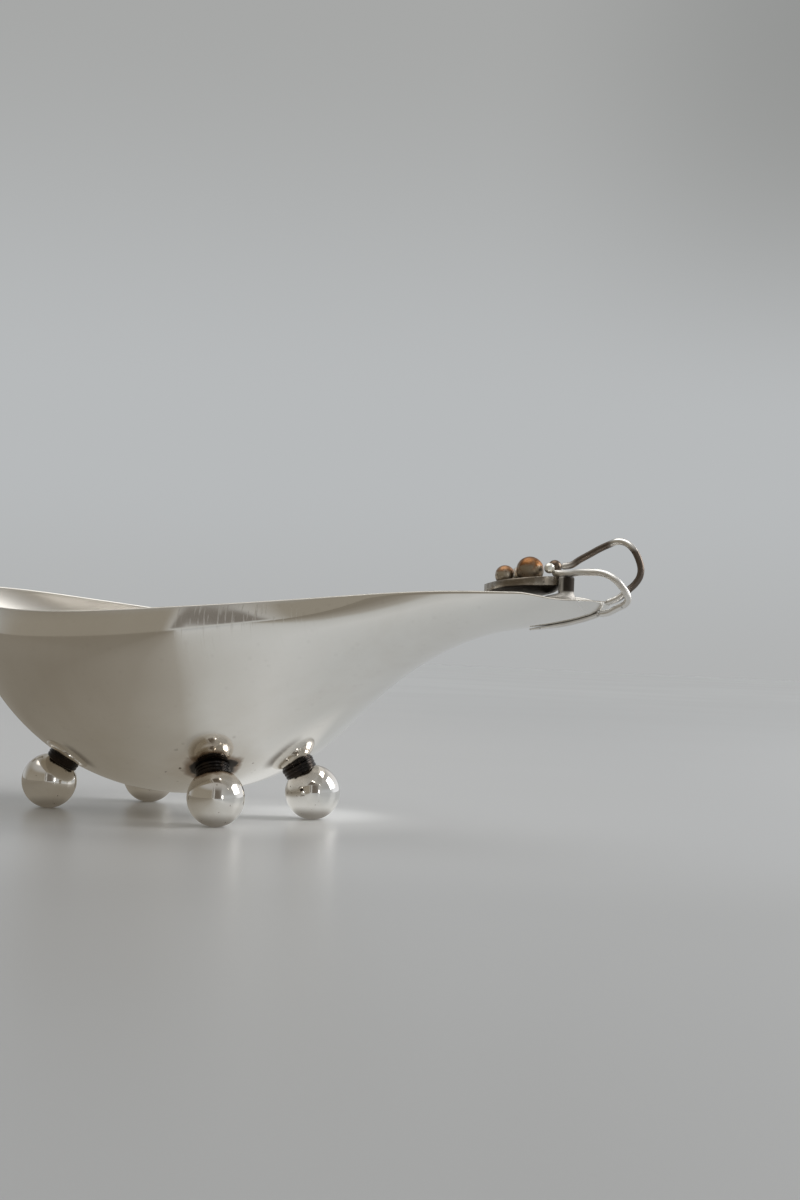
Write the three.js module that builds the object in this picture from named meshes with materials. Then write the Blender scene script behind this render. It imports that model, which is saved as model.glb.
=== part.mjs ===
// A silver-plated bowl on four ball feet, drawn out at both ends into trough-shaped handles.
// Millimetres, +Z up.  The origin is on the ground under the middle of the bowl, and the handles
// lie along X.  Each handle carries a leaf with berries and two looped tendrils of wire.
import * as THREE from "three";

// Joints are soldered.  Two pieces that touch are kept this far apart.
const SOLDER_GAP = 0.3;

// Bowl: one raised sheet, round in the middle
const BODY_RADIUS = 49.6; // outer radius of the round body
const BOTTOM_HEIGHT = 4.6; // lowest point of the body above the ground
const WALL = 0.9; // thickness of the sheet
const BODY_REACH = 30; // the round body gives way to the handle here
const RIM_TUCK = 3.6; // the wall is turned in at the rim, by this much
const RIM_TUCK_DEPTH = 12; // how far below the rim the wall starts to turn in
const RIM_TUCK_FADES_AT = 45; // distance from the middle at which this begins to fade
const RIM_TUCK_FADE = 35; // length over which it fades

// Bowl: height of the rim, which sweeps up from the sides to the handles
const RIM_SIDE_HEIGHT = 42.5;
const RIM_HANDLE_HEIGHT = 49.25;
const RIM_HIGHEST_AT = 84; // distance from the middle
const RIM_TIP_DROP = 1.1; // the rim steps down again near the tip
const RIM_DROP_AT = 92; // distance from the middle at which it starts to do so
const RIM_DROP_LENGTH = 9;

// Bowl: the handle is a trough that narrows to a neck and ends in a round nose
const HANDLE_REACH = 105.4; // from the middle to the tip
const NECK_AT = 80;
const NECK_HALF_WIDTH = 12.2;
const NECK_KEEL_HEIGHT = 41.7;
const NECK_SIDE_SLOPE = -0.15;
const NECK_KEEL_SLOPE = 0.21;
const TIP_HALF_WIDTH = 10; // before the nose is rounded
const TIP_HOLLOW = 0.4; // depth of the trough that is left at the tip
const TIP_KEEL_SLOPE = 0.42;
const NOSE_LENGTH = 13.5; // length over which the nose rounds in, seen from above
const NOSE_TURN = 3; // length over which its underside turns up

// Feet: solid balls, each with a blackened collar where it is soldered to the bowl
const BALL_RADIUS = 6;
const BALL_WORN_FLAT = 0.1; // worn off under the ball
const BALL_TO_BOWL = 0.8; // least distance from the ball to the bowl
const FOOT_ANGLE = THREE.MathUtils.degToRad(33.2); // seen from above, off the handles' line
const COLLAR_RADIUS = 3.5;
const COLLAR_BORE_RADIUS = 1.6;

// Leaf: a cast leaf-shaped dish above the handle, soldered to the side of the post
const POST_RADIUS = 1.5;
const POST_FROM_TIP = 8.9; // from the post's axis to the tip of the handle
const POST_ABOVE_RIM = 3.7;
const LEAF_LENGTH = 16.9;
const LEAF_HALF_WIDTH = 5.3;
const LEAF_WIDEST_AT = 0.58; // share of the length, from the pointed end
const LEAF_THICKNESS = 1.7; // of its edge
const LEAF_HOLLOW = 1.15; // how far its upper side sags in the middle
const LEAF_BELLY = 2.3; // how far its underside bulges
const LEAF_ABOVE_RIM = 3.75; // height of the leaf's edge above the rim, at the post
const LEAF_DIP = 1.7; // how much lower the pointed end lies

// Berries: three beads lie in the leaf, by shares of its length and half width.  Two more sit on
// either side of the low tendril's end, by distances from the post's axis and the leaf's edge.
const BERRY_LARGE = 2.7;
const BERRY_MIDDLE = 1.95;
const BERRY_SMALL = 1.75;
const BERRY_END = 1.35;
const BERRY_NEAR = 1.0;
const LEAF_BERRIES = [
  { name: "middle", radius: BERRY_MIDDLE, along: 0.32, across: -0.42 },
  { name: "small", radius: BERRY_SMALL, along: 0.361, across: 0.82 },
  { name: "large", radius: BERRY_LARGE, along: 0.64, across: -0.02 },
];
const TENDRIL_BERRIES = [
  { name: "near", radius: BERRY_NEAR, fromPost: 3.05, sideways: -1.75, above: 1.9 },
  { name: "end", radius: BERRY_END, fromPost: 3.5, sideways: 1.85, above: 2.2 },
];

// Wires: the pointed stem under the handle and the two tendrils that loop over its tip
const WIRE_RADIUS = 0.65;
const STEM_LENGTH = 15.6;
const STEM_THICKNESS = 0.8;
const STEM_WIDTH = 1.6;
const STEM_POINT = 0.12; // radius left at the point
const STEM_TAPER = 0.4; // share of the length over which it grows to its full size
const STEM_SHORT_OF_TIP = 1.2;
const LOOP_PAST_TIP = 5.8; // how far the loops' centre lines stand out past the tip
const HIGH_LOOP_RISE = 10.6; // top of the high loop's centre line above the rim
const LOW_LOOP_RISE = 4.5;
const LOOP_SPREAD = 2.5; // sideways, from the middle to each wire
// Points of the two loops as shares of those sizes: past the tip, sideways and above the rim
const LOW_LOOP = [
  [0.06, 0, -0.66], [0.456, -0.12, -0.444], [0.735, -0.24, -0.296], [0.888, -0.4, -0.11],
  [0.88, -0.6, 0.133], [0.736, -0.8, 0.436], [0.547, -0.96, 0.696], [0.255, -1, 0.898],
  [-0.043, -1, 0.987], [-0.426, -0.96, 1], [-0.852, -0.76, 1],
];
const HIGH_LOOP = [
  [0.36, 0.36, -0.01], [0.657, 0.6, 0.14], [0.85, 0.76, 0.25], [0.976, 0.88, 0.375],
  [0.993, 0.96, 0.517], [0.866, 1, 0.712], [0.652, 1, 0.88], [0.384, 1, 0.977],
  [0.086, 1, 1], [-0.209, 1, 0.951], [-0.567, 0.96, 0.869], [-0.917, 0.88, 0.768],
  [-1.26, 0.76, 0.667],
];

const SILVER = { color: 0xd6d3cc, roughness: 0.16, metalness: 1 };
const BLACKENED = { color: 0x2c2520, roughness: 0.6, metalness: 0.7 };
const GILT = { color: 0xb98c55, roughness: 0.28, metalness: 1 };

const group = new THREE.Group();

function addPiece(parent, name, geometry, finish) {
  const mesh = new THREE.Mesh(geometry, new THREE.MeshStandardMaterial(finish));
  mesh.name = name;
  parent.add(mesh);
  return mesh;
}

// Smooth curve from (x0, y0) to (x1, y1) with a given slope at each end.
function hermite(x, x0, y0, slope0, x1, y1, slope1) {
  const run = x1 - x0;
  const t = THREE.MathUtils.clamp((x - x0) / run, 0, 1);
  const rise = y1 - y0;
  const bend0 = slope0 * run - rise;
  const bend1 = rise - slope1 * run;
  return y0 + t * rise + t * (1 - t) * (bend0 * (1 - t) + bend1 * t);
}

function slopeOf(curve, at) {
  const step = 0.01;
  return (curve(at + step) - curve(at - step)) / (2 * step);
}

// A quarter ellipse that falls from 1 to 0 over the last stretch before the end.
function roundedEnd(at, end, stretch) {
  const t = THREE.MathUtils.clamp((at - (end - stretch)) / stretch, 0, 1);
  return Math.sqrt(1 - t * t);
}

// The bowl's three lines, as functions of the distance from the middle along X.
const bodyCentreHeight = BOTTOM_HEIGHT + BODY_RADIUS;

// Half a cosine wave, from 0 up to 1.
const halfWave = (share) => (1 - Math.cos(Math.PI * THREE.MathUtils.clamp(share, 0, 1))) / 2;

function rimHeight(at) {
  const climb = (RIM_HANDLE_HEIGHT - RIM_SIDE_HEIGHT) * halfWave(at / RIM_HIGHEST_AT);
  const drop = RIM_TIP_DROP * halfWave((at - RIM_DROP_AT) / RIM_DROP_LENGTH);
  return RIM_SIDE_HEIGHT + climb - drop;
}

const bodyKeel = (at) => bodyCentreHeight - Math.sqrt(BODY_RADIUS ** 2 - at ** 2);
const bodyHalfWidth = (at) =>
  Math.sqrt(BODY_RADIUS ** 2 - at ** 2 - (bodyCentreHeight - rimHeight(at)) ** 2);

function halfWidth(at) {
  if (at < BODY_REACH) return bodyHalfWidth(at);
  if (at < NECK_AT) {
    const start = [BODY_REACH, bodyHalfWidth(BODY_REACH), slopeOf(bodyHalfWidth, BODY_REACH)];
    return hermite(at, ...start, NECK_AT, NECK_HALF_WIDTH, NECK_SIDE_SLOPE);
  }
  const share = (at - NECK_AT) / (HANDLE_REACH - NECK_AT);
  return THREE.MathUtils.lerp(NECK_HALF_WIDTH, TIP_HALF_WIDTH, share);
}

const tipKeelHeight = rimHeight(HANDLE_REACH) - WALL - TIP_HOLLOW;

function keelHeight(at) {
  if (at < BODY_REACH) return bodyKeel(at);
  const neck = [NECK_AT, NECK_KEEL_HEIGHT, NECK_KEEL_SLOPE];
  if (at < NECK_AT) {
    const start = [BODY_REACH, bodyKeel(BODY_REACH), slopeOf(bodyKeel, BODY_REACH)];
    return hermite(at, ...start, ...neck);
  }
  return hermite(at, ...neck, HANDLE_REACH, tipKeelHeight, TIP_KEEL_SLOPE);
}

// One cross-section of the bowl, set in from the outside by some thickness of sheet: a circular arc
// from rim to rim through the keel, drawn in a little towards the rim.
function bowlSection(x, inset, steps) {
  const at = Math.abs(x);
  const reach = HANDLE_REACH - inset;
  const rim = rimHeight(at);
  const half = (halfWidth(at) - inset) * roundedEnd(at, reach, NOSE_LENGTH - inset);
  const sheetHeight = inset * Math.hypot(1, at > 1 ? slopeOf(keelHeight, at) : 0);
  const depth = (rim - keelHeight(at) - sheetHeight) * roundedEnd(at, reach, NOSE_TURN);
  if (half < 1e-6) return [new THREE.Vector3(x, 0, rim)];
  const halfAngle = 2 * Math.atan2(depth, half);
  const radius = half / Math.sin(halfAngle);
  const tuck = (RIM_TUCK / half) * (1 - halfWave((at - RIM_TUCK_FADES_AT) / RIM_TUCK_FADE));
  const row = [];
  for (let i = 0; i <= steps; i++) {
    const angle = halfAngle * ((2 * i) / steps - 1);
    const sag = radius * (Math.cos(angle) - Math.cos(halfAngle));
    const drawnIn = 1 - tuck * Math.max(0, 1 - sag / RIM_TUCK_DEPTH) ** 2;
    row.push(new THREE.Vector3(x, radius * Math.sin(angle) * drawnIn, rim - sag));
  }
  return row;
}

function bowlSkin(inset) {
  const stations = 28; // from the middle to each tip, closer together towards the tip
  const steps = 24; // from rim to rim
  const rows = [];
  for (let i = -stations; i <= stations; i++) {
    const x = (HANDLE_REACH - inset) * Math.sin((i / stations) * (Math.PI / 2));
    rows.push(bowlSection(x, inset, steps));
  }
  return rows;
}

// A closed solid between two skins.  A skin is a list of rows of points; its first and last rows are
// single points.  The lower skin faces down, and a lip joins the two skins' edges.
function solidBetween(lower, upper) {
  const positions = [];
  const numbered = (skin) =>
    skin.map((row) => row.map((point) => positions.push(point.x, point.y, point.z) / 3 - 1));
  const below = numbered(lower);
  const above = numbered(upper);
  const pick = (rows, i, j) => rows[i][Math.min(j, rows[i].length - 1)];
  const indices = [];
  const addQuad = (a, b, c, d) => {
    if (a !== b && b !== c && c !== a) indices.push(a, b, c);
    if (a !== c && c !== d && d !== a) indices.push(a, c, d);
  };
  const last = below.reduce((most, row) => Math.max(most, row.length - 1), 0);
  for (let i = 0; i + 1 < below.length; i++) {
    for (let j = 0; j < last; j++) {
      const cell = (rows) => [pick(rows, i, j), pick(rows, i, j + 1), pick(rows, i + 1, j + 1),
        pick(rows, i + 1, j)];
      addQuad(...cell(below));
      addQuad(...cell(above).reverse());
    }
    addQuad(pick(below, i, 0), pick(below, i + 1, 0), pick(above, i + 1, 0), pick(above, i, 0));
    addQuad(pick(above, i, last), pick(above, i + 1, last), pick(below, i + 1, last),
      pick(below, i, last));
  }
  const geometry = new THREE.BufferGeometry();
  geometry.setAttribute("position", new THREE.Float32BufferAttribute(positions, 3));
  geometry.setIndex(indices);
  geometry.computeVertexNormals();
  return geometry;
}

// A solid of revolution about Z, from a profile of [radius, height] points.
function turned(profile, segments) {
  const points = profile.map(([radius, height]) => new THREE.Vector2(radius, height));
  return new THREE.LatheGeometry(points, segments).rotateX(Math.PI / 2);
}

addPiece(group, "bowl", solidBetween(bowlSkin(0), bowlSkin(WALL)), SILVER);

// Each ball touches the ground and stands clear of the round body by BALL_TO_BOWL, which settles how
// far out it is.  Its collar fills the crevice between the two round surfaces.
const ballHeight = BALL_RADIUS - BALL_WORN_FLAT;
const ballToBodyCentre = BODY_RADIUS + BALL_TO_BOWL + BALL_RADIUS;
const footReach = Math.sqrt(ballToBodyCentre ** 2 - (bodyCentreHeight - ballHeight) ** 2);

function ballGeometry() {
  const rings = 12;
  const flatAngle = Math.asin(ballHeight / BALL_RADIUS);
  const profile = [[0, -ballHeight]];
  for (let i = 0; i <= rings; i++) {
    const angle = THREE.MathUtils.lerp(-flatAngle, Math.PI / 2, i / rings);
    const radius = i === rings ? 0 : BALL_RADIUS * Math.cos(angle);
    profile.push([radius, BALL_RADIUS * Math.sin(angle)]);
  }
  return turned(profile, 24);
}

// Heights along the line from the ball's centre to the body's centre.
function collarGeometry() {
  const steps = 2;
  const ballClear = BALL_RADIUS + SOLDER_GAP;
  const bodyClear = BODY_RADIUS + SOLDER_GAP;
  const onBall = (radius) => Math.sqrt(ballClear ** 2 - radius ** 2);
  const onBody = (radius) => ballToBodyCentre - Math.sqrt(bodyClear ** 2 - radius ** 2);
  const profile = [];
  for (let i = 0; i <= steps; i++) {
    const radius = THREE.MathUtils.lerp(COLLAR_BORE_RADIUS, COLLAR_RADIUS, i / steps);
    profile.push([radius, onBall(radius)]);
  }
  for (let i = steps; i >= 0; i--) {
    const radius = THREE.MathUtils.lerp(COLLAR_BORE_RADIUS, COLLAR_RADIUS, i / steps);
    profile.push([radius, onBody(radius)]);
  }
  profile.push(profile[0]);
  return turned(profile, 18);
}

const FEET = [
  { name: "front", angle: -FOOT_ANGLE },
  { name: "right", angle: FOOT_ANGLE },
  { name: "back", angle: Math.PI - FOOT_ANGLE },
  { name: "left", angle: Math.PI + FOOT_ANGLE },
];
for (const foot of FEET) {
  const x = footReach * Math.cos(foot.angle);
  const y = footReach * Math.sin(foot.angle);
  const centre = new THREE.Vector3(x, y, ballHeight);
  const towardsBody = new THREE.Vector3(0, 0, bodyCentreHeight).sub(centre).normalize();
  const ball = addPiece(group, `foot_ball_${foot.name}`, ballGeometry(), SILVER);
  ball.position.copy(centre);
  const collar = addPiece(group, `foot_collar_${foot.name}`, collarGeometry(), BLACKENED);
  collar.position.copy(centre);
  collar.quaternion.setFromUnitVectors(new THREE.Vector3(0, 0, 1), towardsBody);
}

// Places on the handle.
const postAt = HANDLE_REACH - POST_FROM_TIP;
const postTop = RIM_HANDLE_HEIGHT + POST_ABOVE_RIM;
const floorHeight = (at) => keelHeight(at) + WALL * Math.hypot(1, slopeOf(keelHeight, at));
const leafEnd = postAt - POST_RADIUS - SOLDER_GAP;
const leafStart = leafEnd - LEAF_LENGTH;
const leafEdgeHeight = RIM_HANDLE_HEIGHT + LEAF_ABOVE_RIM;

function postGeometry() {
  const foot = floorHeight(postAt) + SOLDER_GAP + slopeOf(floorHeight, postAt) * POST_RADIUS
    + POST_RADIUS ** 2 / (2 * TIP_HALF_WIDTH);
  return turned([[0, foot], [POST_RADIUS, foot], [POST_RADIUS, postTop], [0, postTop]], 16);
}

// Half width of the leaf: pointed towards the bowl, round towards the post.
function leafHalfWidth(share) {
  if (share < LEAF_WIDEST_AT) {
    return LEAF_HALF_WIDTH * Math.cos((Math.PI / 2) * (1 - share / LEAF_WIDEST_AT));
  }
  return LEAF_HALF_WIDTH * roundedEnd(share, 1, 1 - LEAF_WIDEST_AT);
}

// A point of the leaf's upper side, which sags by a sine wave.  across runs from -1 to 1.
function leafPoint(share, across) {
  const sag = LEAF_HOLLOW * Math.sin(Math.PI * share) * (1 - across * across);
  const x = leafStart + share * LEAF_LENGTH;
  const edge = leafEdgeHeight - LEAF_DIP * (1 - share);
  return new THREE.Vector3(x, across * leafHalfWidth(share), edge - sag);
}

// A point of its underside, which bulges more fully and is blunt at both ends.
function leafUnderPoint(share, across) {
  const point = leafPoint(share, across);
  const bulge = LEAF_BELLY * (1 - (2 * share - 1) ** 8) * (1 - across * across);
  point.z = leafEdgeHeight - LEAF_DIP * (1 - share) - LEAF_THICKNESS - bulge;
  return point;
}

function leafSkin(pointAt) {
  const stations = 16;
  const steps = 8;
  const rows = [];
  for (let i = 0; i <= stations; i++) {
    const share = (1 - Math.cos((Math.PI * i) / stations)) / 2;
    const row = [];
    const isEnd = i === 0 || i === stations;
    for (let j = 0; j <= (isEnd ? 0 : steps); j++) {
      row.push(pointAt(share, isEnd ? 0 : (2 * j) / steps - 1));
    }
    rows.push(row);
  }
  return rows;
}

// A bead in the leaf rests on its upper side, square to it.
function leafBerryCentre(berry) {
  const step = 0.02;
  const along = leafPoint(berry.along + step, berry.across)
    .sub(leafPoint(berry.along - step, berry.across));
  const across = leafPoint(berry.along, berry.across + step)
    .sub(leafPoint(berry.along, berry.across - step));
  const up = along.cross(across).normalize();
  return leafPoint(berry.along, berry.across).addScaledVector(up, berry.radius + SOLDER_GAP);
}

function tendrilBerryCentre(berry) {
  return new THREE.Vector3(postAt - berry.fromPost, berry.sideways, leafEdgeHeight + berry.above);
}

// A closed bar along a smooth curve.  sizeAt gives its half width and half thickness at each share
// of the curve.  The frames of a curve that lies along X in an upright plane have level normals.
function barAlong(points, steps, sides, sizeAt) {
  const curve = new THREE.CatmullRomCurve3(points);
  const frames = curve.computeFrenetFrames(steps);
  const positions = [];
  const indices = [];
  for (let i = 0; i <= steps; i++) {
    const centre = curve.getPointAt(i / steps);
    const [wide, thick] = sizeAt(i / steps);
    for (let j = 0; j < sides; j++) {
      const angle = (2 * Math.PI * j) / sides;
      const point = centre.clone()
        .addScaledVector(frames.normals[i], wide * Math.cos(angle))
        .addScaledVector(frames.binormals[i], thick * Math.sin(angle));
      positions.push(point.x, point.y, point.z);
    }
  }
  for (let i = 0; i < steps; i++) {
    for (let j = 0; j < sides; j++) {
      const a = i * sides + j;
      const b = i * sides + ((j + 1) % sides);
      indices.push(a, b, b + sides, a, b + sides, a + sides);
    }
  }
  const lastRing = steps * sides;
  for (let j = 1; j + 1 < sides; j++) {
    indices.push(0, j + 1, j, lastRing, lastRing + j, lastRing + j + 1);
  }
  const geometry = new THREE.BufferGeometry();
  geometry.setAttribute("position", new THREE.Float32BufferAttribute(positions, 3));
  geometry.setIndex(indices);
  geometry.computeVertexNormals();
  return geometry;
}

const wireSize = () => [WIRE_RADIUS, WIRE_RADIUS];
const wireOnPost = postTop + SOLDER_GAP + WIRE_RADIUS;
const wireOnLeaf = leafEdgeHeight + 0.05 + SOLDER_GAP + WIRE_RADIUS;
const stemEnd = HANDLE_REACH - STEM_SHORT_OF_TIP;
const stemBelow = SOLDER_GAP + STEM_THICKNESS / 2;

function stemGeometry() {
  const points = [];
  const count = 8;
  for (let i = 0; i <= count; i++) {
    const x = stemEnd - STEM_LENGTH * (1 - i / count);
    points.push(new THREE.Vector3(x, 0, keelHeight(x) - stemBelow));
  }
  const taper = (share) => Math.min(1, Math.sqrt(share / STEM_TAPER));
  return barAlong(points, 16, 8, (share) => [
    STEM_POINT + (STEM_WIDTH / 2 - STEM_POINT) * taper(share),
    STEM_POINT + (STEM_THICKNESS / 2 - STEM_POINT) * taper(share),
  ]);
}

function loopPoints(shares, rise) {
  return shares.map(([past, sideways, above]) => new THREE.Vector3(
    HANDLE_REACH + past * LOOP_PAST_TIP,
    sideways * LOOP_SPREAD,
    RIM_HANDLE_HEIGHT + above * rise,
  ));
}

// The low tendril starts at the stem's end, turns up past the tip, comes back over the handle and
// ends on the leaf.
function lowTendrilPoints() {
  return [
    new THREE.Vector3(stemEnd + SOLDER_GAP, 0, keelHeight(stemEnd) - stemBelow + 0.1),
    ...loopPoints(LOW_LOOP, LOW_LOOP_RISE),
    new THREE.Vector3(postAt + POST_RADIUS, -0.4 * LOOP_SPREAD, wireOnPost),
    new THREE.Vector3(postAt - 0.2 * POST_RADIUS, -0.16 * LOOP_SPREAD, wireOnPost),
    new THREE.Vector3(leafEnd - 1.3, 0, wireOnLeaf),
  ];
}

// The high tendril starts at the tip of the handle, loops higher and ends at the end berry.
function highTendrilPoints() {
  return [
    new THREE.Vector3(HANDLE_REACH + 1.5 * SOLDER_GAP, 0.08 * LOOP_SPREAD, rimHeight(HANDLE_REACH)),
    ...loopPoints(HIGH_LOOP, HIGH_LOOP_RISE),
    new THREE.Vector3(postAt + 0.1 * POST_RADIUS, 0.56 * LOOP_SPREAD, wireOnPost + 1.6),
    new THREE.Vector3(postAt - 1.25 * POST_RADIUS, 0.38 * LOOP_SPREAD, wireOnPost + 1.3),
  ];
}

function addHandle(side, turn) {
  const handle = new THREE.Group();
  handle.rotation.z = turn;
  group.add(handle);
  const post = addPiece(handle, `post_${side}`, postGeometry(), SILVER);
  post.position.x = postAt;
  const leaf = solidBetween(leafSkin(leafUnderPoint), leafSkin(leafPoint));
  addPiece(handle, `leaf_${side}`, leaf, SILVER);
  const beads = [
    ...LEAF_BERRIES.map((berry) => [berry, leafBerryCentre(berry)]),
    ...TENDRIL_BERRIES.map((berry) => [berry, tendrilBerryCentre(berry)]),
  ];
  for (const [berry, centre] of beads) {
    const bead = new THREE.SphereGeometry(berry.radius, 12, 8);
    addPiece(handle, `berry_${berry.name}_${side}`, bead, GILT).position.copy(centre);
  }
  addPiece(handle, `stem_${side}`, stemGeometry(), SILVER);
  const low = barAlong(lowTendrilPoints(), 30, 8, wireSize);
  addPiece(handle, `tendril_low_${side}`, low, SILVER);
  const high = barAlong(highTendrilPoints(), 34, 8, wireSize);
  addPiece(handle, `tendril_high_${side}`, high, SILVER);
}

addHandle("right", 0);
addHandle("left", Math.PI);

export default group;
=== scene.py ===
import math

import bmesh
import bpy
import numpy as np
from mathutils import Matrix, Vector


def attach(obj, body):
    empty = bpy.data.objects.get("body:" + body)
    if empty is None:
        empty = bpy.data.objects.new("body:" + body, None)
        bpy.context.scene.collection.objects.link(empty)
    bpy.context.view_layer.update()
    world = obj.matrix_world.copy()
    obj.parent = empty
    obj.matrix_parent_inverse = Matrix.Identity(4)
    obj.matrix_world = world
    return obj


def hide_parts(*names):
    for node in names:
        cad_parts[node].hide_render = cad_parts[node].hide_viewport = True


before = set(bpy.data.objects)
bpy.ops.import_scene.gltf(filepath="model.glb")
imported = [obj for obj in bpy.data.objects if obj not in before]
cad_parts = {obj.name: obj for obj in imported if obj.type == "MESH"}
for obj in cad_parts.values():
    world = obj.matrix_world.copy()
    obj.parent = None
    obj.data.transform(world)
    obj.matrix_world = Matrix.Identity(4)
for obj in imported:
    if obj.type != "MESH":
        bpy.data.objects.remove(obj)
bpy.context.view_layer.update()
scene = bpy.context.scene
scene.view_settings.view_transform = "Standard"


# The view: a long lens at table height, a little below the bowl's rim, with the right handle
# turned towards it.  It looks up by 1.5 degrees and leans by 2.3 degrees.
VIEW_YAW = math.radians(36.0)
VIEW_PITCH = math.radians(1.46)
VIEW_ROLL = math.radians(2.32)
VIEW_FROM = (0.2867, -0.3155, 0.0379)
LONG_SIDE = 1200  # pixels of the picture's long side
FOCAL_PIXELS = 1926

camera_data = bpy.data.cameras.new("camera")
camera_data.sensor_width = 36.0
camera_data.lens = camera_data.sensor_width * FOCAL_PIXELS / LONG_SIDE
camera_data.clip_start = 0.01
camera_data.clip_end = 50
camera = bpy.data.objects.new("camera", camera_data)
scene.collection.objects.link(camera)
scene.camera = camera
level_right = Vector((math.cos(VIEW_YAW), math.sin(VIEW_YAW), 0))
level_ahead = Vector((-math.sin(VIEW_YAW), math.cos(VIEW_YAW), 0))
ahead = level_ahead * math.cos(VIEW_PITCH) + Vector((0, 0, math.sin(VIEW_PITCH)))
upright = level_right.cross(ahead)
right = level_right * math.cos(VIEW_ROLL) + upright * math.sin(VIEW_ROLL)
up = upright * math.cos(VIEW_ROLL) - level_right * math.sin(VIEW_ROLL)
turn = Matrix((right, up, -ahead)).transposed().to_4x4()
camera.matrix_world = Matrix.Translation(VIEW_FROM) @ turn


# The room: a pale wall all round.  Metal sees it darker and warmer behind the camera on the left,
# unlit in two narrow places, bright on the right, where the windows are, and bright overhead.
WALL_LOW = (0.44, 0.447, 0.447, 1)
WALL_MIDDLE = (0.475, 0.49, 0.498, 1)
WALL_HIGH = (0.385, 0.39, 0.385, 1)
WALL_CORNER = (0.3, 0.305, 0.3, 1)
CEILING = (0.72, 0.73, 0.74, 1)
CEILING_IN_METAL = (0.47, 0.47, 0.465, 1)
CAMERA_SIDE = (0.275, 0.25, 0.205, 1)
PALE_SIDE = (0.5, 0.5, 0.485, 1)
UNLIT = (0.11, 0.09, 0.07, 1)
WINDOW_SIDE = (0.85, 0.87, 0.9, 1)
OVERHEAD = (2.2, 2.2, 2.16, 1)
# Where each begins and is full, as the sine of the angle up
MIDDLE_FROM = (-0.02, 0.09)
HIGH_FROM = (0.12, 0.32)
CEILING_FROM = (0.45, 0.85)
SIDE_BELOW = (0.75, 0.45)
UNLIT_BELOW = (0.9, 0.75)
SLIT_ABOVE = (0.02, 0.06)
# The same to the right, as seen from the camera
CORNER_FROM = (0.03, 0.2)
PALE_FROM = (-0.22, -0.1)
UNLIT_FROM = (-0.04, 0.04)
UNLIT_TO = (0.48, 0.38)
SLIT_FROM = (-0.145, -0.13)
SLIT_TO = (-0.07, -0.085)
# The same along a direction, which is given as the compass takes it
BEHIND_WAY = (-40, 0)
BEHIND_FROM = (-0.1, 0.6)
WINDOW_WAY = (125, 22)
WINDOW_FROM = (0.72, 0.92)
OVERHEAD_WAY = (-130, 75)
OVERHEAD_FROM = (0.84, 0.94)
SLIT_SHARE = 0.9
UNLIT_SHARE = 0.9


def add_node(tree, kind, inputs=None, **settings):
    """A node with its settings.  An input that is a socket is linked, any other is its value."""
    node = tree.nodes.new(kind)
    for key, value in settings.items():
        setattr(node, key, value)
    for key, value in (inputs or {}).items():
        if isinstance(value, bpy.types.NodeSocket):
            tree.links.new(value, node.inputs[key])
        else:
            node.inputs[key].default_value = value
    return node


def ease(tree, value, start, end, low=0.0, high=1.0):
    """The value, mapped smoothly from start..end to low..high."""
    return add_node(tree, "ShaderNodeMapRange", {
        "Value": value, "From Min": start, "From Max": end, "To Min": low, "To Max": high,
    }, interpolation_type="SMOOTHSTEP").outputs["Result"]


def blend_colour(tree, share, first, second):
    """The first colour, turned into the second by the share."""
    node = add_node(tree, "ShaderNodeMix", {0: share, 6: first, 7: second}, data_type="RGBA")
    return node.outputs[2]


def maths(tree, operation, *values):
    """One arithmetic step on one, two or three values."""
    return add_node(tree, "ShaderNodeMath", dict(enumerate(values)), operation=operation).outputs[0]


def times(tree, first, *others):
    """The product of some masks and shares."""
    for other in others:
        first = maths(tree, "MULTIPLY", first, other)
    return first


def along(tree, vector, direction):
    """How far a vector points along a direction."""
    return add_node(tree, "ShaderNodeVectorMath", {0: vector, 1: direction},
                    operation="DOT_PRODUCT").outputs["Value"]


def compass(turned, lifted):
    """A direction, by degrees to the right of straight back from the bowl, and degrees up."""
    turned, lifted = math.radians(turned), math.radians(lifted)
    level = level_right * math.sin(turned) - level_ahead * math.cos(turned)
    return level * math.cos(lifted) + Vector((0, 0, math.sin(lifted)))


world = bpy.data.worlds.new("room")
world.use_nodes = True
scene.world = world
room = world.node_tree
room.nodes.clear()
gaze = add_node(room, "ShaderNodeTexCoord").outputs["Generated"]
height = along(room, gaze, (0, 0, 1))
rightward = along(room, gaze, level_right)
wall = blend_colour(room, ease(room, height, *MIDDLE_FROM), WALL_LOW, WALL_MIDDLE)
wall = blend_colour(room, ease(room, height, *HIGH_FROM), wall, WALL_HIGH)

# What the metal mirrors: the sides, darker behind the camera, and the ceiling
behind = ease(room, along(room, gaze, compass(*BEHIND_WAY)), *BEHIND_FROM)
shade = blend_colour(room, ease(room, rightward, *PALE_FROM), CAMERA_SIDE, PALE_SIDE)
sides = blend_colour(room, times(room, behind, ease(room, height, *SIDE_BELOW)), wall, shade)
unlit = times(room, ease(room, rightward, *UNLIT_FROM), ease(room, rightward, *UNLIT_TO))
slit = times(room, ease(room, rightward, *SLIT_FROM), ease(room, rightward, *SLIT_TO),
             ease(room, height, *SLIT_ABOVE), SLIT_SHARE)
unlit = times(room, maths(room, "MAXIMUM", unlit, slit), behind, ease(room, height, *UNLIT_BELOW),
              UNLIT_SHARE)
sides = blend_colour(room, unlit, sides, UNLIT)
windows = ease(room, along(room, gaze, compass(*WINDOW_WAY)), *WINDOW_FROM)
sides = blend_colour(room, windows, sides, WINDOW_SIDE)
path = add_node(room, "ShaderNodeLightPath")
lamp_light = ease(room, along(room, gaze, compass(*OVERHEAD_WAY)), *OVERHEAD_FROM)
ceiling = blend_colour(room, lamp_light, CEILING_IN_METAL, OVERHEAD)
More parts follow.
